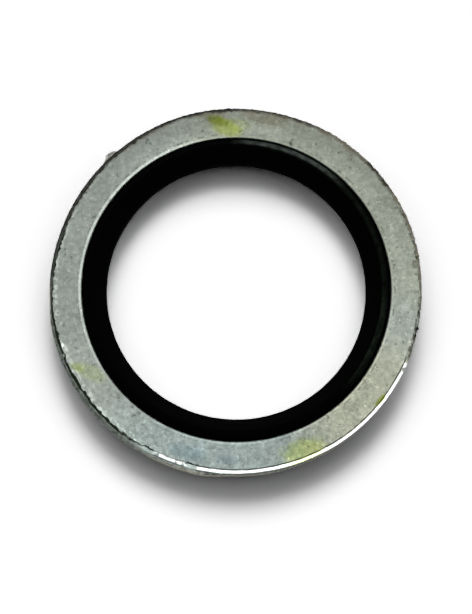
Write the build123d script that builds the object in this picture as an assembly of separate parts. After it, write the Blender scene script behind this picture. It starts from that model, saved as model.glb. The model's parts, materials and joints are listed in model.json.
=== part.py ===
"""Bonded sealing washer: a blanked steel ring with a rubber lip seal moulded into its bore.

The washer lies flat, with its rolled-over edge up. +Z is up. The origin is on the washer's axis,
level with the crest of the lower rubber lip, which is what the washer stands on.
Lengths are in millimetres.
"""

import os

from build123d import *

# Radial build, from the bolt outwards
seal_bore_diameter = 16.7  # clears an M16 thread
seal_width = 1.6  # radial, from the bolt hole to the bonded joint
ring_width = 2.05  # radial, from the bonded joint to the blanked edge

# Steel ring
ring_thickness = 2.0
bore_edge_chamfer = 0.15
rollover_width = 0.27  # the blanking tool draws the upper edge down into this rounded shoulder
rollover_depth = 0.18
burnish_depth = 0.5  # smooth sheared band below the shoulder
fracture_lean = 0.06  # how far the torn band below it leans in by the time it ends
lower_edge_break = 0.08

# Rubber seal, the same above and below the ring's mid-plane
lip_height = 0.3  # crest of each lip above its face of the ring
gutter_width = 0.06  # flat strip beside the ring, where the mould closed on its chamfer
crest_inset = 0.55  # middle of the crest, measured inwards from the bonded joint
crest_width = 0.24
crest_radius = 0.12
land_height = 0.7  # the bolt hole's wall, before its two corners are rounded
land_radius = 0.15

# What follows from them
seal_bore_radius = seal_bore_diameter / 2
joint_radius = seal_bore_radius + seal_width
ring_radius = joint_radius + ring_width
ring_half = ring_thickness / 2
joint_half = ring_half - bore_edge_chamfer
crest_half = ring_half + lip_height
land_half = land_height / 2
mid_plane = Pos(0, 0, crest_half)


def turned(section):
    """The solid that a section in the XZ plane makes in one turn about Z, at its height."""
    return mid_plane * revolve(section, Axis.Z, 360)


def corners(section, radius, half_height):
    """The section's two corners at this radius, above and below the mid-plane."""
    places = [Vector(radius, 0, half_height), Vector(radius, 0, -half_height)]
    return [section.vertices().sort_by_distance(place)[0] for place in places]


def steel_ring():
    """Rectangular strip section with the four kinds of edge that blanking and tumbling leave."""
    shoulder_foot = ring_half - rollover_depth
    burnish_foot = shoulder_foot - burnish_depth
    face_edge = ring_radius - rollover_width
    foot_radius = ring_radius - fracture_lean

    with BuildSketch(Plane.XZ) as section:
        with BuildLine():
            TangentArc((face_edge, ring_half), (ring_radius, shoulder_foot), tangent=(1, 0))
            Polyline(
                (ring_radius, shoulder_foot),
                (ring_radius, burnish_foot),
                (foot_radius, lower_edge_break - ring_half),
                (foot_radius - lower_edge_break, -ring_half),
                (joint_radius + bore_edge_chamfer, -ring_half),
                (joint_radius, -joint_half),
                (joint_radius, joint_half),
                (joint_radius + bore_edge_chamfer, ring_half),
                (face_edge, ring_half),
            )
        make_face()
    return turned(section.sketch)


def rubber_seal():
    """Wedge section: broad where it is bonded to the ring, with a proud lip on each face."""
    gutter_foot = joint_radius - gutter_width
    crest_outer = joint_radius - crest_inset + crest_width / 2
    crest_inner = joint_radius - crest_inset - crest_width / 2
    upper = [
        (joint_radius, joint_half),
        (gutter_foot, joint_half),
        (crest_outer, crest_half),
        (crest_inner, crest_half),
        (seal_bore_radius, land_half),
    ]
    lower = [(radius, -height) for radius, height in reversed(upper)]

    with BuildSketch(Plane.XZ) as outline:
        with BuildLine():
            Polyline(*upper, *lower, close=True)
        make_face()
    section = outline.sketch
    section = fillet(corners(section, crest_outer, crest_half), crest_radius)
    section = fillet(corners(section, crest_inner, crest_half), crest_radius)
    section = fillet(corners(section, seal_bore_radius, land_half), land_radius)
    return turned(section)


os.makedirs("parts", exist_ok=True)
export_step(steel_ring(), "parts/steel_ring.step")
export_step(rubber_seal(), "parts/rubber_seal.step")
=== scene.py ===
"""The looks of a bonded sealing washer: a zinc-plated steel ring with a black rubber lip seal in its bore.

The washer lies on a pale floor with its rolled-over edge up. Z is up, and its axis is the Z axis.
Lengths are metres, written as millimetres times MM. Azimuths are degrees round the washer, starting at
+X and turning towards +Y.
"""

import json
from math import atan2, cos, degrees, hypot, pi, radians, sin

import bpy
from mathutils import Matrix, Vector


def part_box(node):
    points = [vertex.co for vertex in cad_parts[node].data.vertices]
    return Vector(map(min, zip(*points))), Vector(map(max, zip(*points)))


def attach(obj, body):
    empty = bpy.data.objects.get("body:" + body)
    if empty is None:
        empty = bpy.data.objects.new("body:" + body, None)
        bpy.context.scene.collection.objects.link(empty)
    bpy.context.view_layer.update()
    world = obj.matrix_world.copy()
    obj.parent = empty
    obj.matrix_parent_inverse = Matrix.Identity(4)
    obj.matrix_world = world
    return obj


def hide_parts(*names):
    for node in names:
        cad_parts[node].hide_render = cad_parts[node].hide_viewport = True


MM = 0.001

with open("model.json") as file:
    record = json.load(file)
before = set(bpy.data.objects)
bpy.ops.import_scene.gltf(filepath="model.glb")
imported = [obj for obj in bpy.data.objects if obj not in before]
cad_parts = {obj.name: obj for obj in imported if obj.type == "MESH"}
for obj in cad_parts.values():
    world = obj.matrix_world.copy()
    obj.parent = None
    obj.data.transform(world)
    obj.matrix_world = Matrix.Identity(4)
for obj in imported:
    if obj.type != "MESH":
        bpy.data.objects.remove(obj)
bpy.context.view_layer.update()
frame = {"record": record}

# What the frame gives
ring_low, ring_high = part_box("steel_ring")
seal_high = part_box("rubber_seal")[1]
bolt_hole = next(mount for mount in frame["record"]["mounts"] if mount["name"] == "bolt_hole")
ring_radius = ring_high.x
face_height = ring_high.z
under_height = ring_low.z
joint_radius = seal_high.x
crest_height = seal_high.z
middle_height = crest_height / 2
bore_radius = bolt_hole["dims"]["r_mm"] * MM

# Edges of the steel ring
BORE_EDGE = 0.15 * MM  # chamfer at each end of the bore
RIM_WIDTH = 0.2 * MM  # how far the bore's rounded upper corner reaches over the face
SHOULDER_WIDTH = 0.27 * MM  # rolled-over upper edge
SHOULDER_DROP = 0.18 * MM
BURNISH_DEPTH = 0.5 * MM  # smooth sheared band below the shoulder
FRACTURE_LEAN = 0.06 * MM  # how far the torn band below it leans in by the time it ends
LOWER_EDGE = 0.08 * MM
SEAT_LINE = joint_radius + 0.26 * MM  # where the mould shut on the face

# Where they start and end
face_edge = ring_radius - SHOULDER_WIDTH
shoulder_foot = face_height - SHOULDER_DROP
burnish_foot = shoulder_foot - BURNISH_DEPTH
foot_radius = ring_radius - FRACTURE_LEAN

# Lips of the rubber seal
GUTTER_WIDTH = 0.06 * MM  # flat strip beside the ring
CREST_INSET = 0.55 * MM  # from the bonded joint in to the middle of the crest
CREST_WIDTH = 0.24 * MM
CREST_ROUND = 0.07 * MM
LAND_HEIGHT = 0.7 * MM  # the bolt hole's straight wall, before its corners are rounded
LAND_ROUND = 0.09 * MM
PARTING_RIDGE = 0.018 * MM  # left by the mould halfway down the bolt hole

# Marks round the ring's outer edge, by azimuth
CLEAN_MIDDLE = -63.0  # where the punch cut first and left the edge smooth
CLEAN_HALF = 37.0
NICKS = [15.0, 10.2, -6.9, -12.7, -14.4, -17.3, -26.0, -158.5]
BURR = 132.7

# Meshes
RING_STEPS = 960  # once round the ring
SEAL_STEPS = 720  # once round the seal
MERGE = 0.0001 * MM  # points closer than this become one
SMOOTH_ANGLE = radians(50)  # edges sharper than this stay sharp

# Paint dabs on the upper face: x, y, half length and half width in mm, turn in degrees, the tint that
# the metal's colour is multiplied by, and the variant of their ragged outline
PAINT_DABS = [
    (0.1, 10.8, 0.9, 0.5, 0, (1.0, 1.03, 0.8), 20),
    (-0.62, 10.62, 1.15, 0.62, -24, (0.98, 1.04, 0.5), 28),
    (-1.28, 11.12, 0.82, 0.38, -16, (0.66, 0.7, 0.34), 22),
    (-9.3, -5.45, 1.2, 0.5, -26, (1.03, 1.06, 0.8), 23),
    (-10.2, -5.15, 0.5, 0.3, -26, (0.9, 0.96, 0.65), 24),
    (4.3, -10.6, 1.62, 1.0, 20, (0.92, 1.02, 0.6), 25),
    (4.3, -10.8, 1.45, 0.85, 20, (1.25, 1.16, 1.05), 26),
    (9.2, -7.25, 0.62, 0.17, 50, (0.6, 0.65, 0.22), 27),
]
# Stains in the plating, and one painted glint, in the same columns
STAINS = [
    (-3.1, -10.65, 1.3, 0.5, -17, (0.77, 0.83, 0.87), 30),
    (-0.5, -11.1, 0.8, 0.34, -3, (0.78, 0.82, 0.86), 31),
    (-2.2, -10.45, 0.35, 0.5, -10, (1.12, 1.16, 1.2), 32),
    (3.55, 9.55, 0.14, 0.2, 20, (0.45, 0.45, 0.43), 33),
    (2.0, 11.1, 1.5, 0.32, -12, (0.78, 0.74, 0.68), 34),
    # A painted glint on the edge, not a stain
    (-11.15, -3.75, 0.22, 0.13, 60, (2.2, 2.25, 2.2), 35),
    (11.5, 1.6, 0.35, 0.2, 95, (0.6, 0.58, 0.54), 36),
    (10.9, -1.2, 0.5, 0.3, 80, (1.12, 1.12, 1.16), 37),
]

# Camera and light
CAMERA_AZIMUTH = -91.7
CAMERA_ELEVATION = 79.4
CAMERA_DISTANCE = 200 * MM
CAMERA_LENS = 181.6  # in mm, as the camera takes it
FRAME_OFFSET = 1.01 * MM  # how far the washer's centre lies above the middle of the picture
FLOOR_LIGHT = 1.4  # from all the lamps together, where nothing stands in their way
FLOOR_WHITE = 1.015  # how bright the open floor looks. Anything from 1 up is pure white
ALL_ROUND = 0.02  # the share of the floor's light that comes from all round

# Distant lamps: name, azimuth, elevation and spread in degrees, share of the floor's light
SOFTBOXES = [
    ("key_middle", 88, 45, 25, 0.348),
    ("key_left", 108, 45, 35, 0.215),
    ("key_right", 68, 45, 35, 0.215),
    ("side_left", 163, 50, 45, 0.104),
    ("side_right", 13, 50, 45, 0.104),
]
# Glowing cards that only show in reflections: name and azimuth
CARDS = [("low_card_right", -42.75), ("low_card_left", -92.25)]
CARD_ELEVATION = 28
CARD_DISTANCE = 300 * MM
CARD_WIDTH = 277 * MM
CARD_HEIGHT = 200 * MM
CARD_BRIGHTNESS = 1.0


# Sections and solids of revolution


def stretch(start, end, steps):
    """Evenly spaced section points from start to end."""
    return [Vector(start).lerp(Vector(end), step / steps) for step in range(steps + 1)]


def bend(start, corner, end, steps):
    """Section points of a rounded corner: from start towards the corner, and away from it to the end."""
    points = []
    for step in range(steps + 1):
        share = step / steps
        leaving = Vector(start).lerp(Vector(corner), share)
        landing = Vector(corner).lerp(Vector(end), share)
        points.append(leaving.lerp(landing, share))
    return points


def beside(point, out, up):
    """The section point this many millimetres further out and up."""
    return (point[0] + out * MM, point[1] + up * MM)


def turned(name, section, steps):
    """A solid of revolution about Z from a closed section of (radius, height) points."""
    bpy.ops.object.select_all(action="DESELECT")
    bpy.ops.mesh.primitive_plane_add(size=MM)
    piece = bpy.context.object
    piece.name = name
    piece.data.name = name
    # The plane shrinks to one point, which is then drawn out all along the section
    bpy.ops.object.mode_set(mode="EDIT")
    bpy.ops.mesh.merge(type="CENTER")
    place = Vector((section[0].x, 0, section[0].y))
    bpy.ops.transform.translate(value=place)
    for point in section[1:] + section[:1]:
        target = Vector((point.x, 0, point.y))
        bpy.ops.mesh.extrude_region_move(TRANSFORM_OT_translate={"value": target - place})
        place = target
    bpy.ops.mesh.select_all(action="SELECT")
    bpy.ops.mesh.remove_doubles(threshold=MERGE)
    bpy.ops.object.mode_set(mode="OBJECT")
    turn = piece.modifiers.new("turn", "SCREW")
    turn.steps = steps
    turn.render_steps = steps
    turn.use_merge_vertices = True
    turn.merge_threshold = MERGE
    bpy.ops.object.modifier_apply(modifier=turn.name)
    bpy.ops.object.mode_set(mode="EDIT")
    bpy.ops.mesh.select_all(action="SELECT")
    bpy.ops.mesh.normals_make_consistent(inside=False)
    bpy.ops.object.mode_set(mode="OBJECT")
    bpy.ops.object.shade_smooth_by_angle(angle=SMOOTH_ANGLE)
    return piece


def weigh(piece, name, weight):
    """A vertex group whose weights come from each point's radius, height and azimuth."""
    group = piece.vertex_groups.new(name=name)
    for vertex in piece.data.vertices:
        x, y, z = vertex.co
        group.add([vertex.index], weight(hypot(x, y), z, degrees(atan2(y, x))), "REPLACE")


def fade(value, full, none):
    """1 at and beyond full, falling smoothly to 0 at none."""
    share = min(max((value - none) / (full - none), 0), 1)
    return share * share * (3 - 2 * share)


def apart(azimuth, other):
    """The angle between two azimuths."""
    return abs((azimuth - other + 180) % 360 - 180)


def push(piece, group, depth, direction="NORMAL", level=0.0, texture=None):
    """Moves the group's points by this depth.

    With a texture, the depth is multiplied by how far the texture's value is above the level.
    """
    move = piece.modifiers.new("push", "DISPLACE")
    move.vertex_group = group
    move.direction = direction
    move.strength = depth
    move.mid_level = level
    move.texture = texture
    move.texture_coords = "LOCAL"
    bpy.context.view_layer.objects.active = piece
    bpy.ops.object.modifier_apply(modifier=move.name)


def lumps(grain, basis="BLENDER_ORIGINAL"):
    """Soft noise whose lumps are about this large."""
    texture = bpy.data.textures.new("lumps", "CLOUDS")
    texture.noise_scale = grain
    texture.noise_basis = basis
    return texture


# The steel ring


def ring_section():
    """From the foot of the bore, up and over the face, down the blanked wall and back underneath."""
    bore_bottom = (joint_radius, under_height + BORE_EDGE)
    bore_top = (joint_radius, face_height - BORE_EDGE)
    rim = (joint_radius + RIM_WIDTH, face_height)
    edge = (face_edge, face_height)
    shoulder = (ring_radius, shoulder_foot)
    burnish_end = (ring_radius, burnish_foot)
    wall_end = (foot_radius, under_height + LOWER_EDGE)
    under_start = (foot_radius - LOWER_EDGE, under_height)
    under_end = (joint_radius + BORE_EDGE, under_height)
    return [
        *stretch(bore_bottom, bore_top, 4),
        *bend(bore_top, (joint_radius, face_height), rim, 8),
        *stretch(beside(rim, 0.05, 0), beside(edge, -0.06, 0), 22),
        *bend(beside(edge, -0.02, 0), beside(edge, 0.01, 0), beside(edge, 0.035, -0.017), 4),
        *stretch(beside(edge, 0.06, -0.034), beside(shoulder, -0.04, 0.03), 6),
        *bend(beside(shoulder, -0.02, 0.017), shoulder, beside(shoulder, 0, -0.03), 5),
        *stretch(beside(shoulder, 0, -0.1), burnish_end, 5),
        *stretch(beside(burnish_end, -0.01, -0.08), wall_end, 14),
        *stretch(under_start, under_end, 18),
    ]


def make_ring():
    ring = turned("washer_ring", ring_section(), RING_STEPS)

    def outside(radius):
        """The wall and most of the shoulder."""
        return fade(radius, ring_radius - 0.12 * MM, ring_radius - 0.3 * MM)

    def face(radius, height, azimuth):
        """The flat upper face."""
        level = fade(height, face_height - 0.001 * MM, face_height - 0.01 * MM)
        return level * fade(radius, face_edge - 0.2 * MM, face_edge)

    def sharp(radius, height, azimuth):
        """The corner at the bore is less rounded on the side away from +X +Y."""
        corner = fade(abs(radius - joint_radius - 0.05 * MM), 0.04 * MM, 0.11 * MM)
        above = fade(height, face_height - 0.11 * MM, face_height - BORE_EDGE)
        return corner * above * fade(apart(azimuth, -150), 60, 120)

    def edge(radius, height, azimuth):
        """The start of the shoulder. It is clean where the punch cut first, and chewed elsewhere."""
        above = fade(height, face_height - 0.1 * MM, face_height - 0.16 * MM)
        chewed = 0.03 + 0.97 * fade(apart(azimuth, CLEAN_MIDDLE), CLEAN_HALF + 7, CLEAN_HALF - 1)
        return chewed * above * fade(abs(radius - face_edge - 0.02 * MM), 0.05 * MM, 0.25 * MM)

    def torn(radius, height, azimuth):
        """The wall below the smooth sheared band."""
        return outside(radius) * fade(height, burnish_foot - 0.05 * MM, burnish_foot)

    def flared(radius, height, azimuth):
        """The torn wall stands proud along the part of the edge that was cut last."""
        along = fade(azimuth, -101, -91) * fade(azimuth, -167, -182)
        return along * torn(radius, height, azimuth)

    def uneven(radius, height, azimuth):
        """Strongest from the clean part's end to past +Y, and slight on the rest of the chewed edge."""
        along = 0.3 + 0.7 * fade(apart(azimuth, 48), 62, 76)
        chewed = fade(apart(azimuth, CLEAN_MIDDLE), CLEAN_HALF + 8, CLEAN_HALF + 2)
        return outside(radius) * along * chewed

    def flattened(radius, height, azimuth):
        return outside(radius) * fade(apart(azimuth, 142), 14, 36)

    def bulged(radius, height, azimuth):
        return outside(radius) * fade(apart(azimuth, 38), 20, 36)

    def nicked(radius, height, azimuth):
        """Nicks below the shoulder, deepest at the foot of the smooth sheared band."""
        near = max(fade(apart(azimuth, nick), 0.2, 0.9) for nick in NICKS)
        return near * outside(radius) * fade(height, shoulder_foot, burnish_foot)

    def burred(radius, height, azimuth):
        """One raised burr, at the foot of the smooth sheared band."""
        along = fade(apart(azimuth, BURR), 0, 5)
        low = fade(abs(height - burnish_foot), 0, 0.35 * MM)
        return along * low * outside(radius)

    for weight in (face, sharp, edge, torn, flared, uneven, flattened, bulged, nicked, burred):
        weigh(ring, weight.__name__, weight)
    push(ring, "face", 0.005 * MM, "Z", 0.7, lumps(0.9 * MM))
    push(ring, "sharp", 0.045 * MM)
    push(ring, "edge", 0.16 * MM, "X", 0.5, lumps(0.3 * MM))
    push(ring, "edge", 0.16 * MM, "Y", 0.5, lumps(0.3 * MM, "ORIGINAL_PERLIN"))
    push(ring, "torn", 0.07 * MM, "NORMAL", 0.8, lumps(0.25 * MM))
    push(ring, "flared", 0.17 * MM)
    push(ring, "uneven", 0.11 * MM, "NORMAL", 0.72, lumps(0.45 * MM, "VORONOI_F2_F1"))
    push(ring, "flattened", -0.075 * MM)
    push(ring, "bulged", 0.07 * MM)
    push(ring, "nicked", -0.1 * MM)
    push(ring, "burred", 0.62 * MM, "NORMAL", 0.0, lumps(0.3 * MM))
    bpy.ops.object.shade_smooth_by_angle(angle=SMOOTH_ANGLE)
    return ring


# The rubber seal


def lip_section():
    """The upper half, as (radius, rise above the middle) points from the bonded joint to the bolt hole."""
    gutter_rise = face_height - BORE_EDGE - middle_height
    crest_rise = crest_height - middle_height
    crest_middle = joint_radius - CREST_INSET
    crest_out = Vector((crest_middle + CREST_WIDTH / 2, crest_rise))
    crest_in = Vector((crest_middle - CREST_WIDTH / 2, crest_rise))
    gutter_foot = Vector((joint_radius - GUTTER_WIDTH, gutter_rise))
    land_top = Vector((bore_radius, LAND_HEIGHT / 2))
    flank = (gutter_foot - crest_out).normalized()
    slope = (land_top - crest_in).normalized()
    across = Vector((1, 0))
    return [
        Vector((joint_radius, gutter_rise)),
        *bend(gutter_foot + across * 0.02 * MM, gutter_foot, gutter_foot - flank * 0.04 * MM, 3),
        *stretch(gutter_foot - flank * 0.06 * MM, crest_out + flank * (CREST_ROUND + 0.02 * MM), 5),
        *bend(crest_out + flank * CREST_ROUND, crest_out, crest_out - across * CREST_ROUND, 5),
        *bend(crest_in + across * CREST_ROUND, crest_in, crest_in + slope * CREST_ROUND, 5),
        *stretch(
            crest_in + slope * (CREST_ROUND + 0.05 * MM),
            land_top - slope * (LAND_ROUND + 0.05 * MM),
            10,
        ),
        *bend(land_top - slope * LAND_ROUND, land_top, land_top - Vector((0, LAND_ROUND)), 5),
        Vector((bore_radius, LAND_HEIGHT / 2 - LAND_ROUND - 0.08 * MM)),
        Vector((bore_radius, 0.04 * MM)),
        Vector((bore_radius - PARTING_RIDGE, 0)),
    ]


def seal_section():
    """The whole outline: the upper half, the same below, and the bonded wall between them."""
    upper = lip_section()
    lower = [Vector((point.x, -point.y)) for point in reversed(upper[:-1])]
    middle = Vector((0, middle_height))
    return [point + middle for point in upper + lower]


def make_seal():
    seal = turned("washer_seal", seal_section(), SEAL_STEPS)

    def loose(radius, height, azimuth):
        """The edge of the rubber at the bonded joint, which is a little uneven."""
        return fade(radius, joint_radius - 0.1 * MM, joint_radius)

    def shifted(radius, height, azimuth):
        """The mould's core sat a little off centre, so the bolt hole does too."""
        return fade(radius, bore_radius + 0.2 * MM, bore_radius + 0.5 * MM)

    weigh(seal, "loose", loose)
    weigh(seal, "shifted", shifted)
    push(seal, "loose", 0.03 * MM, "NORMAL", 0.9, lumps(1.5 * MM))
    push(seal, "loose", 0.012 * MM, "NORMAL", 0.9, lumps(0.3 * MM))
    push(seal, "shifted", -0.03 * MM, "Y")
    push(seal, "shifted", 0.01 * MM, "X")
    bpy.ops.object.shade_smooth_by_angle(angle=SMOOTH_ANGLE)
    return seal


# Finishes


def colour(red, green, blue):
    return (red, green, blue, 1.0)


def grey(value):
    return colour(value, value, value)


class Nodes:
    """The nodes of a material or a world, put together one by one."""

    def __init__(self, owner):
        owner.use_nodes = True
        self.tree = owner.node_tree
        self.tree.nodes.clear()

    def add(self, kind, inputs=None, **settings):
        """A node with these settings, its inputs linked to other nodes' outputs or set to values."""
        node = self.tree.nodes.new(kind)
        for setting, value in settings.items():
            setattr(node, setting, value)
        for socket, value in (inputs or {}).items():
            if isinstance(value, bpy.types.NodeSocket):
                self.tree.links.new(value, node.inputs[socket])
            else:
                node.inputs[socket].default_value = value
        return node

    def calculate(self, operation, *values):
        node = self.add("ShaderNodeMath", dict(enumerate(values)), operation=operation)
        return node.outputs[0]

    def product(self, first, *others):
        for other in others:
            first = self.calculate("MULTIPLY", first, other)
        return first

    def most(self, first, *others):
        """The largest of the values."""
        for other in others:
            first = self.calculate("MAXIMUM", first, other)
        return first

    def rest(self, share):
        """What is left of 1."""
        return self.calculate("SUBTRACT", 1, share)

    def mix(self, share, first, second):
        """Goes from the first colour to the second as share goes from 0 to 1."""
        # Sockets by number, since the node's number, vector and colour sockets have the same names
        node = self.add("ShaderNodeMix", {0: share, 6: first, 7: second}, data_type="RGBA")
        return node.outputs[2]

    def shown(self):
        """1 to the camera and in reflections, and 0 to light that is scattered."""
        ray = self.add("ShaderNodeLightPath").outputs
        return self.most(ray["Is Camera Ray"], ray["Is Glossy Ray"])


class Finish(Nodes):
    """A material whose base colour is laid on in layers.

    Sizes are metres on the piece, and angles are degrees. A mask is 1 where something is and 0 elsewhere.
    """

    def __init__(self, name, base):
        self.material = bpy.data.materials.new(name)
        super().__init__(self.material)
        self.base = base
        self.place = self.add("ShaderNodeTexCoord").outputs["Object"]
        self.level = self.vector("MULTIPLY", self.place, (1, 1, 0))
        self.radius = self.vector("LENGTH", self.level)

    def vector(self, operation, *values):
        node = self.add("ShaderNodeVectorMath", dict(enumerate(values)), operation=operation)
        return node.outputs["Value" if operation in ("LENGTH", "DOT_PRODUCT") else "Vector"]

    def noise(self, size, detail=2.0, variant=0.0, place=None):
        """Soft noise from 0 to 1 with patches of about this size. Each variant is a pattern of its own."""
        inputs = {"Vector": place or self.place, "Scale": 1 / size, "Detail": detail, "W": variant}
        return self.add("ShaderNodeTexNoise", inputs, noise_dimensions="4D").outputs["Fac"]

    def between(self, value, low, high, first=0.0, last=1.0):
        """Goes smoothly from first to last as the value goes from low to high."""
        inputs = {"Value": value, "From Min": low, "From Max": high, "To Min": first, "To Max": last}
        return self.add("ShaderNodeMapRange", inputs, interpolation_type="SMOOTHSTEP").outputs["Result"]

    def adjust(self, value, *changes):
        """The value with the amount of each change added where that change's mask is 1."""
        for mask, amount in changes:
            value = self.calculate("MULTIPLY_ADD", mask, amount, value)
        return value

    def relief(self, height, depth, under=None):
        """A bump whose height goes from 0 to 1 over this depth."""
        inputs = {"Height": height, "Distance": depth}
        if under:
            inputs["Normal"] = under
        return self.add("ShaderNodeBump", inputs).outputs["Normal"]

    def band(self, value, middle, half, soft):
        """1 where the value is within half of the middle, fading to 0 over soft on each side."""
        off = self.calculate("ABSOLUTE", self.calculate("SUBTRACT", value, middle))
        return self.between(off, half + soft, half)

    def facing(self, azimuth, spread, soft):
        """1 within this angle of an azimuth round the axis, fading to 0 over soft on each side."""
        way = (cos(radians(azimuth)), sin(radians(azimuth)), 0)
        along = self.vector("DOT_PRODUCT", self.vector("NORMALIZE", self.level), way)
        return self.between(along, cos(radians(spread + soft)), cos(radians(spread)))

    def spots(self, size, low, high, variant):
        """Scattered spots: 1 where noise of this size is beyond high, fading to 0 at low."""
        return self.between(self.noise(size, 1, variant), low, high)

    def blot(self, x, y, length, width, turn, ragged, variant):
        """How far out in an oval blot a place is: 0 in the middle and 1 at the ragged outline."""
        inputs = {
            "Vector": self.place,
            "Location": (x, y, 0),
            "Rotation": (0, 0, radians(turn)),
            "Scale": (length, width, 1),
        }
        oval = self.add("ShaderNodeMapping", inputs, vector_type="TEXTURE").outputs["Vector"]
        wander = self.calculate("MULTIPLY_ADD", self.noise(0.5 * MM, 3, variant), ragged, -ragged / 2)
        return self.calculate("ADD", self.vector("LENGTH", oval), wander)

    def shade(self, amount):
        """The base made brighter or darker by a factor."""
        inputs = {"Vector": self.base, "Scale": amount}
        return self.add("ShaderNodeVectorMath", inputs, operation="SCALE").outputs["Vector"]

    def tone(self, amount):
        """Makes the base brighter or darker by a factor."""
        self.base = self.shade(amount)

    def touch(self, mask, amount):
        """Makes the base brighter or darker by a factor where the mask is 1."""
        self.tone(self.between(mask, 0, 1, 1, amount))

    def cover(self, mask, tint):
        """Lays a colour over the base where the mask is 1."""
        self.base = self.mix(mask, self.base, tint)

    def finished(self, inputs):
        """The material, with these inputs for its shader beside the base colour."""
        shader = self.add("ShaderNodeBsdfPrincipled", {"Base Color": self.base, **inputs})
        self.add("ShaderNodeOutputMaterial", {"Surface": shader.outputs[0]})
        return self.material


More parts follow.
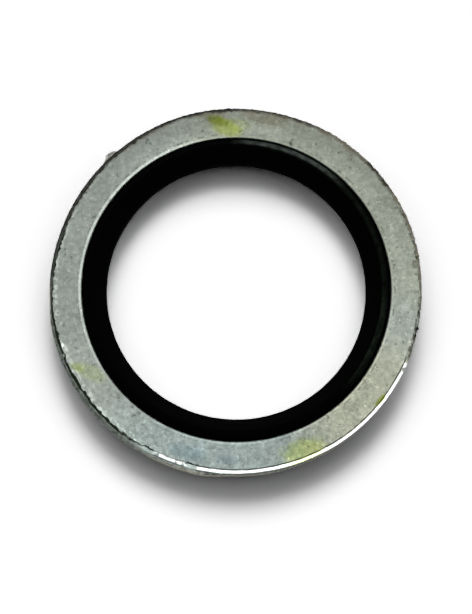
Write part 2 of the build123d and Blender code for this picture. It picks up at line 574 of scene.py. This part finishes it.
class PlatedSteel(Finish):
    """The ring's finish: zinc plating with stains, painted highlights and painted shade, and the bare
    metal of the blanked wall.
    """

    def __init__(self):
        super().__init__("zinc_plated_steel", colour(0.29, 0.32, 0.292))
        self.height = self.add("ShaderNodeSeparateXYZ", {"Vector": self.place}).outputs["Z"]
        self.mottle = self.noise(0.65 * MM, 3, 3)
        self.grain = self.noise(0.24 * MM, 2, 5)
        self.streaks = self.noise(0.26 * MM, 3, 13, self.vector("MULTIPLY", self.place, (1, 1, 0.18)))
        self.pits = self.spots(0.4 * MM, 0.66, 0.74, 9)

        # Parts of the edge, clockwise. The clean one was cut first, and the battered one was cut last
        self.clean = self.facing(CLEAN_MIDDLE, CLEAN_HALF, 4)
        self.inset = self.facing(-90, 22, 13)  # where the clean part's bright line lies further in
        self.broken = self.facing(-110.8, 4.5, 1.5)
        self.battered = self.facing(-151, 20, 14)
        # Where the shoulder is painted black for a dark reflection
        self.painted_black_side = self.facing(156, 56, 24)
        self.brown = self.facing(69, 90, 3)
        self.darkest_brown = self.most(self.facing(80, 13, 7), self.facing(39, 3, 6))

        # Parts of its section: shoulder and wall, all past the crease, the smooth band, and the torn wall
        self.frayed = self.frayed_radius()
        self.outside = self.between(self.radius, ring_radius - 0.25 * MM, ring_radius - 0.12 * MM)
        self.beyond = self.between(self.frayed, face_edge + 0.05 * MM, face_edge + 0.12 * MM)
        smooth_band = self.band(self.height, burnish_foot + 0.25 * MM, 0.27 * MM, 0.04 * MM)
        self.sheared = self.product(smooth_band, self.outside, self.clean)
        low = self.between(self.height, burnish_foot + 0.05 * MM, burnish_foot - 0.1 * MM)
        self.torn = self.most(self.product(low, self.outside), self.product(self.battered, self.beyond))

    def frayed_radius(self):
        """The radius with a ragged wander. Where it is raised, the shoulder starts further in."""
        wander = self.calculate("MULTIPLY_ADD", self.noise(0.4 * MM, 3, 11), 0.4 * MM, -0.2 * MM)
        calm = self.between(self.clean, 0, 1, 1, 0.2)
        return self.adjust(
            self.calculate("MULTIPLY_ADD", wander, calm, self.radius),
            (self.inset, 0.03 * MM),
            (self.facing(-176, 14, 18), -0.06 * MM),
            (self.battered, -0.08 * MM),
            (self.painted_black_side, 0.07 * MM),
            (self.brown, -0.03 * MM),
            (self.darkest_brown, 0.07 * MM),
            (self.facing(142, 16, 18), 0.13 * MM),
        )

    def plate(self):
        """Grey, warm towards +X +Y, cool towards -Y, olive towards +X -Y and palest towards -X -Y."""
        cool = self.blot(-2 * MM, -11 * MM, 10 * MM, 7 * MM, 0, 0.3, 1)
        olive = self.blot(8.5 * MM, -7.5 * MM, 6.5 * MM, 5 * MM, 45, 0.3, 2)
        pale = self.blot(-8.5 * MM, -6.5 * MM, 6 * MM, 5 * MM, -50, 0.3, 15)
        self.cover(self.facing(50, 45, 25), colour(0.305, 0.33, 0.275))
        self.cover(self.between(cool, 1, 0.2), colour(0.322, 0.382, 0.364))
        self.cover(self.between(olive, 1, 0.3), colour(0.408, 0.427, 0.337))
        self.touch(self.between(pale, 1, 0.3), 1.2)
        self.touch(self.facing(-4, 12, 18), 1.15)
        darker_outwards = self.between(self.radius, joint_radius + 0.25 * MM, face_edge, 1.1, 0.82)
        self.cover(self.facing(75, 15, 80), self.shade(darker_outwards))
        self.tone(self.between(self.noise(2.2 * MM, 2, 1), 0.3, 0.7, 0.95, 1.05))
        self.tone(self.between(self.mottle, 0.3, 0.7, 0.92, 1.08))
        lively = self.between(self.facing(-88, 38, 25), 0, 1, 0.66, 1)
        speckle = self.product(self.between(self.grain, 0.3, 0.7, -0.21, 0.21), lively)
        self.tone(self.calculate("ADD", 1, speckle))

    def fleck(self):
        """Painted glints as light flecks, dark pits, painted shade in notches at +X, and painted glints
        along the edge, brightest at -X.
        """
        # Light flecks in two sizes: painted glints
        self.touch(self.spots(0.34 * MM, 0.64, 0.74, 7), 1.22)
        self.touch(self.spots(0.17 * MM, 0.66, 0.72, 20), 1.45)
        self.touch(self.spots(0.17 * MM, 0.66, 0.72, 21), 0.62)
        self.touch(self.pits, 0.62)
        # Painted shade in small notches in the edge at +X
        notch_shade = self.product(
            self.between(self.radius, face_edge - 0.12 * MM, face_edge + 0.05 * MM),
            self.facing(0, 24, 8),
            self.spots(0.35 * MM, 0.5, 0.62, 19),
        )
        self.touch(notch_shade, 0.4)
        # Painted glints along the chewed edge, brightest round -X
        fringe = self.band(self.radius, face_edge - 0.05 * MM, 0.08 * MM, 0.25 * MM)
        edge_glints = self.product(self.spots(0.3 * MM, 0.42, 0.6, 8), fringe)
        self.touch(edge_glints, 1.15)
        self.touch(self.product(edge_glints, self.facing(-172, 48, 10)), 1.4)

    def paint_rim_highlight(self):
        """A painted highlight on the bore's rim. Beside it is the dotted line of the mould's seat."""
        rim = self.between(self.radius, joint_radius + 0.22 * MM, joint_radius + 0.16 * MM)
        # How strong the painted highlight is round the rim
        highlight_side = self.most(
            self.product(self.facing(154, 28, 42), 0.78),
            self.product(self.facing(-62, 50, 20), 0.35),
            self.facing(148, 12, 18),
        )
        self.touch(self.product(rim, highlight_side), 2.02)
        seat = self.band(self.radius, SEAT_LINE, 0.02 * MM, 0.04 * MM)
        pressed = self.most(self.facing(5, 55, 15), self.facing(118, 16, 8))
        dots = self.between(self.noise(0.24 * MM, 1, 10), 0.42, 0.58, 1.2, 0.55)
        self.cover(self.product(seat, self.between(pressed, 0, 1, 0.45, 1)), self.shade(dots))

    def stain_face(self):
        """Brown stain round +Y that thickens towards the edge."""
        stain = self.product(
            self.between(self.radius, face_edge - 0.35 * MM, face_edge + 0.05 * MM),
            self.facing(95, 35, 25),
            self.spots(1.1 * MM, 0.35, 0.65, 12),
            0.75,
        )
        self.cover(stain, colour(0.15, 0.125, 0.085))

    def darken_shoulder(self):
        """Brown round +X and +Y, painted shade right beside the clean part, and painted black for a dark
        reflection round -X.
        """
        ragged = self.between(self.noise(0.25 * MM, 2, 17), 0.38, 0.56, 0.62, 1)
        brown_tone = self.mix(self.darkest_brown, colour(0.155, 0.14, 0.106), colour(0.04, 0.035, 0.025))
        self.cover(self.product(self.beyond, self.brown, ragged), brown_tone)
        # Painted shade beside the clean part
        self.touch(self.product(self.beyond, self.facing(-13, 6, 7)), 0.5)
        # Painted black: the shoulder's dark reflection round -X
        self.cover(self.product(self.beyond, self.painted_black_side, 0.95), colour(0.017, 0.019, 0.015))

    def paint_shoulder_highlight(self):
        """Painted highlight on the clean part, in ticks on the broken part with painted shade between
        them, and a painted dark reflection right below.
        """
        ticks = self.spots(0.5 * MM, 0.34, 0.44, 16)
        bright = self.most(self.between(self.clean, 0.35, 0.65), self.product(self.broken, ticks))
        lowered = self.adjust(self.height, (self.inset, -0.05 * MM))
        slope = self.between(lowered, shoulder_foot - 0.03 * MM, shoulder_foot + 0.01 * MM)
        # A near-white painted highlight on the rolled shoulder
        shoulder_highlight = self.product(self.beyond, bright, slope)
        # Painted shade between the ticks
        self.touch(self.product(self.beyond, self.broken, self.rest(ticks)), 0.6)
        self.cover(shoulder_highlight, colour(0.93, 0.95, 0.93))
        # Painted dark reflection under the highlight
        below = self.product(
            self.band(self.height, shoulder_foot - 0.05 * MM, 0.05 * MM, 0.03 * MM),
            self.outside,
            self.most(self.clean, self.broken),
            self.rest(shoulder_highlight),
        )
        self.touch(below, 0.25)

    def bare_wall(self):
        """Torn below the smooth band and, where it was cut last, all of it, with painted shade round -X
        -Y. A painted dark reflection ends the band.
        """
        streaked = self.between(self.streaks, 0.3, 0.7)
        wall = self.mix(streaked, colour(0.22, 0.217, 0.185), colour(0.44, 0.43, 0.365))
        # Painted shade on the wall round -X -Y
        dimmer_wall = self.mix(streaked, colour(0.1, 0.117, 0.1), colour(0.23, 0.258, 0.23))
        self.cover(self.torn, self.mix(self.facing(-146, 14, 26), wall, dimmer_wall))
        # Painted dark reflection where the smooth band ends
        dark_foot_line = self.product(
            self.band(self.height, burnish_foot - 0.06 * MM, 0.07 * MM, 0.06 * MM),
            self.outside,
            self.between(self.clean, 0, 1, 0.3, 1),
            self.between(self.streaks, 0.35, 0.6, 1, 0.5),
        )
        self.touch(dark_foot_line, 0.15)

    def crease(self):
        """Painted shade in a ragged line where the shoulder starts, wide and further out where the edge
        was cut last.
        """
        dashes = self.between(self.spots(0.5 * MM, 0.34, 0.5, 14), 0, 1, 0.75, 1)
        thin = self.band(self.frayed, face_edge + 0.045 * MM, 0.04 * MM, 0.02 * MM)
        wide = self.band(self.frayed, face_edge + 0.085 * MM, 0.05 * MM, 0.035 * MM)
        line = self.product(
            self.most(self.product(thin, dashes), self.product(wide, self.battered)),
            self.between(self.height, face_height - 0.2 * MM, face_height - 0.15 * MM),
            self.between(self.brown, 0, 1, 1, 0.3),
            self.between(self.clean, 0, 1, 1, 0.85),
            self.between(self.broken, 0, 1, 1, 0.3),
        )
        # Near black: the painted shade of the crease
        self.cover(line, colour(0.012, 0.016, 0.01))

    def scuff_burr(self):
        """Fresh metal on the burr."""
        scuffed = self.calculate("MULTIPLY_ADD", self.noise(0.3 * MM, 3, 18), 0.12 * MM, self.radius)
        proud = self.between(scuffed, ring_radius, ring_radius + 0.1 * MM)
        streaked = self.between(self.streaks, 0.35, 0.65)
        fresh = self.mix(streaked, colour(0.22, 0.225, 0.2), colour(0.45, 0.455, 0.41))
        self.cover(self.product(self.facing(BURR, 3.5, 2), proud), fresh)

    def stain_and_paint(self):
        """Small stains, a painted glint, and yellow-green inspection paint, thin enough for the metal to
        show through.
        """
        top = self.between(self.height, burnish_foot, face_height - 0.1 * MM)
        for x, y, length, width, turn, tint, variant in STAINS + PAINT_DABS:
            way_out = self.blot(x * MM, y * MM, length * MM, width * MM, turn, 0.9, variant)
            mask = self.product(self.between(way_out, 1.2, 0.55), top)
            self.cover(mask, self.vector("MULTIPLY", self.base, tint))

    def roughness(self):
        """Smoothest where the edge is clean, and roughest where it is torn."""
        return self.adjust(
            self.between(self.mottle, 0.3, 0.7, 0.4, 0.5),
            (self.product(self.beyond, self.clean), -0.2),
            (self.sheared, -0.15),
            (self.torn, 0.4),
        )

    def bumps(self):
        """Fine unevenness that leaves out the sheared band, and the pits."""
        uneven = self.rest(self.sheared)
        bump = self.relief(self.product(self.grain, uneven), 0.004 * MM)
        bump = self.relief(self.product(self.mottle, uneven), 0.008 * MM, bump)
        return self.relief(self.pits, -0.006 * MM, bump)


def zinc_plated_steel():
    steel = PlatedSteel()
    steel.plate()
    steel.fleck()
    steel.paint_rim_highlight()
    steel.stain_face()
    steel.darken_shoulder()
    steel.paint_shoulder_highlight()
    steel.bare_wall()
    steel.crease()
    steel.scuff_burr()
    steel.stain_and_paint()
    return steel.finished({"Metallic": 1.0, "Roughness": steel.roughness(), "Normal": steel.bumps()})


def nitrile_rubber():
    rubber = Finish("nitrile_rubber", colour(0.0004, 0.0005, 0.0004))
    fine = rubber.noise(0.16 * MM, 3, 1)
    streaks = rubber.noise(0.5 * MM, 3, 4)
    rubber.cover(streaks, colour(0.0014, 0.0017, 0.0014))

    # Painted sheen on the lip's outer flank: pale beside +Y, and a faint green one from there to past +X
    speckled = rubber.product(
        rubber.between(streaks, 0.3, 0.7, 0.3, 1),
        rubber.between(fine, 0.3, 0.7, 0.5, 1),
    )
    # The pale painted sheen
    pale = rubber.product(
        rubber.band(rubber.radius, joint_radius - 0.29 * MM, 0.11 * MM, 0.13 * MM),
        rubber.facing(68, 10, 15),
        speckled,
    )
    green_sheen = rubber.product(
        rubber.band(rubber.radius, joint_radius - 0.39 * MM, 0.1 * MM, 0.16 * MM),
        rubber.most(rubber.facing(-20, 8, 18), rubber.product(rubber.facing(20, 45, 25), 0.35)),
        speckled,
    )
    rubber.cover(green_sheen, colour(0.032, 0.044, 0.032))
    rubber.cover(pale, colour(0.125, 0.147, 0.13))
    return rubber.finished(
        {
            "Roughness": rubber.between(fine, 0.3, 0.7, 0.5, 0.62),
            "Specular IOR Level": 0.004,
            "Normal": rubber.relief(fine, 0.006 * MM),
        }
    )


def paper_floor():
    """White to the camera where nothing shades it, and grey to the light that it scatters back."""
    material = bpy.data.materials.new("paper_floor")
    paper = Nodes(material)
    tone = paper.mix(paper.shown(), grey(0.5), grey(FLOOR_WHITE * pi / FLOOR_LIGHT))
    shader = paper.add("ShaderNodeBsdfDiffuse", {"Color": tone})
    paper.add("ShaderNodeOutputMaterial", {"Surface": shader.outputs[0]})
    return material


# Stage


def toward(azimuth, elevation):
    """The direction at this azimuth and elevation, in degrees."""
    azimuth = radians(azimuth)
    elevation = radians(elevation)
    return Vector((cos(azimuth) * cos(elevation), sin(azimuth) * cos(elevation), sin(elevation)))


def make_floor():
    bpy.ops.object.select_all(action="DESELECT")
    bpy.ops.mesh.primitive_plane_add(size=4, location=(0, 0, -0.002 * MM))
    floor = bpy.context.object
    floor.name = "paper_floor"
    floor.data.materials.append(paper_floor())


def add_lamp(kind, name, azimuth, elevation, distance=0.0):
    """A lamp that shines on the washer from this direction, unseen by the camera.

    It lights by shadow rays alone, since the floor's scattered rays pass through the ring.
    """
    way = toward(azimuth, elevation)
    turn = way.to_track_quat("Z", "Y").to_euler()
    bpy.ops.object.light_add(type=kind, location=way * distance, rotation=turn)
    lamp = bpy.context.object
    lamp.name = name
    lamp.visible_camera = False
    lamp.data.cycles.use_multiple_importance_sampling = False
    return lamp


def make_light():
    """Softboxes light the floor, cards light the metal's edges, and the world is white to look at."""
    for name, azimuth, elevation, spread, share in SOFTBOXES:
        lamp = add_lamp("SUN", name, azimuth, elevation)
        lamp.data.angle = radians(spread)
        lamp.data.energy = share * FLOOR_LIGHT / sin(radians(elevation))
        lamp.visible_glossy = False
    for name, azimuth in CARDS:
        lamp = add_lamp("AREA", name, azimuth, CARD_ELEVATION, CARD_DISTANCE)
        lamp.data.shape = "RECTANGLE"
        lamp.data.size = CARD_WIDTH
        lamp.data.size_y = CARD_HEIGHT
        lamp.data.energy = CARD_BRIGHTNESS * pi * CARD_WIDTH * CARD_HEIGHT
        lamp.visible_diffuse = False
    world = bpy.data.worlds.new("studio")
    bpy.context.scene.world = world
    sky = Nodes(world)
    dim = sky.add("ShaderNodeBackground", {"Color": grey(ALL_ROUND * FLOOR_LIGHT / pi)})
    white = sky.add("ShaderNodeBackground", {"Color": grey(1)})
    choice = sky.add("ShaderNodeMixShader", {0: sky.shown(), 1: dim.outputs[0], 2: white.outputs[0]})
    sky.add("ShaderNodeOutputWorld", {"Surface": choice.outputs[0]})


def make_camera():
    back = toward(CAMERA_AZIMUTH, CAMERA_ELEVATION)
    right = Vector((0, 1, 0)).cross(back).normalized()
    up = back.cross(right)
    aim = Vector((0, 0, middle_height)) - up * FRAME_OFFSET
    place = aim + back * CAMERA_DISTANCE
    bpy.ops.object.camera_add()
    camera = bpy.context.object
    camera.data.lens = CAMERA_LENS
    camera.data.clip_start = CAMERA_DISTANCE / 10
    camera.matrix_world = Matrix.Translation(place) @ Matrix((right, up, back)).transposed().to_4x4()
    bpy.context.scene.camera = camera


ring = make_ring()
ring.data.materials.append(zinc_plated_steel())
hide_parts("steel_ring")
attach(ring, "root")
ring.visible_diffuse = False  # keeps the metal's glints off the floor. The ring still casts its shadow

seal = make_seal()
seal.data.materials.append(nitrile_rubber())
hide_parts("rubber_seal")
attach(seal, "root")

make_floor()
make_light()
make_camera()
bpy.context.scene.view_settings.view_transform = "Standard"
